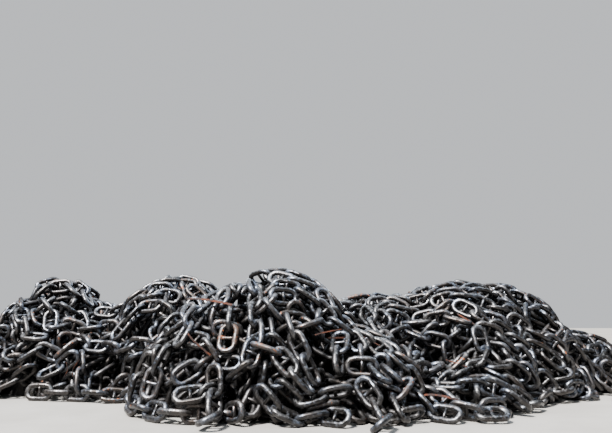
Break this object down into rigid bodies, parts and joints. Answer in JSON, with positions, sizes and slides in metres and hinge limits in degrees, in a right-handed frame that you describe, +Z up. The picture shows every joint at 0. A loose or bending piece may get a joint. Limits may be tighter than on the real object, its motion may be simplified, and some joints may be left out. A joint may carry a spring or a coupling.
{
  "type": "heap of anchor chain",
  "caption": "Loose heap of heavy stud-link anchor chain, dark worn steel with some rust, lying on level ground as stored stock.",
  "frame": {"origin": "on the ground under the middle of the heap's box", "axes": "+X along the heap's length, to the right as the picture shows it; the front faces -Y; +Z up"},
  "size_m": [13.8488, 6.6298, 2.1834],
  "materials": {
    "chain_steel": "worn dark grey forged steel, satin, with brown rust in places",
    "hidden_steel": "dark, the inside of the heap in shadow",
    "rusty_steel": "rough orange-brown rust"
  },
  "bodies": {
    "root": {"chain_run_back_dip": "chain_steel", "chain_run_back_end_left": "chain_steel", "chain_run_back_left": "chain_steel", "chain_run_back_left_low": "chain_steel", "chain_run_back_middle": "chain_steel", "chain_run_back_ridge": "chain_steel", "chain_run_back_right": "chain_steel", "chain_run_back_right_end": "chain_steel", "chain_run_back_right_slope": "chain_steel", "chain_run_back_rim": "chain_steel", "chain_run_back_saddle": "chain_steel", "chain_run_corner_drop": "chain_steel", "chain_run_crown": "chain_steel", "chain_run_crown_face": "chain_steel", "chain_run_end_left": "chain_steel", "chain_run_end_right": "chain_steel", "chain_run_foot_front": "chain_steel", "chain_run_foot_left": "chain_steel", "chain_run_foot_left_corner": "chain_steel", "chain_run_foot_left_end": "chain_steel", "chain_run_foot_right": "chain_steel", "chain_run_foot_sweep": "chain_steel", "chain_run_front_drop": "chain_steel", "chain_run_front_middle": "chain_steel", "chain_run_front_right_drop": "chain_steel", "chain_run_hanging_left": "chain_steel", "chain_run_hanging_middle": "chain_steel", "chain_run_leaning_left": "chain_steel", "chain_run_left_band": "chain_steel", "chain_run_left_dip": "chain_steel", "chain_run_left_end_face": "chain_steel", "chain_run_left_face": "chain_steel", "chain_run_left_fall": "chain_steel", "chain_run_left_hang": "chain_steel", "chain_run_left_low": "chain_steel", "chain_run_left_top": "chain_steel", "chain_run_right_end_face": "chain_steel", "chain_run_right_face": "chain_steel", "chain_run_right_fall": "chain_steel", "chain_run_right_flat": "chain_steel", "chain_run_right_knot": "chain_steel", "chain_run_right_low": "chain_steel", "chain_run_right_ridge": "chain_steel", "chain_run_right_rim": "chain_steel", "chain_run_right_slant": "chain_steel", "chain_run_right_top": "chain_steel", "chain_run_saddle": "chain_steel", "chain_run_shoulder": "chain_steel", "chain_run_tail": "chain_steel", "chain_run_tail_back": "chain_steel", "chain_run_valley_right": "chain_steel", "heap_core": "hidden_steel", "rusty_strap_left": "rusty_steel", "rusty_strap_middle": "rusty_steel", "rusty_strap_right": "rusty_steel"}
  },
  "joints": []
}
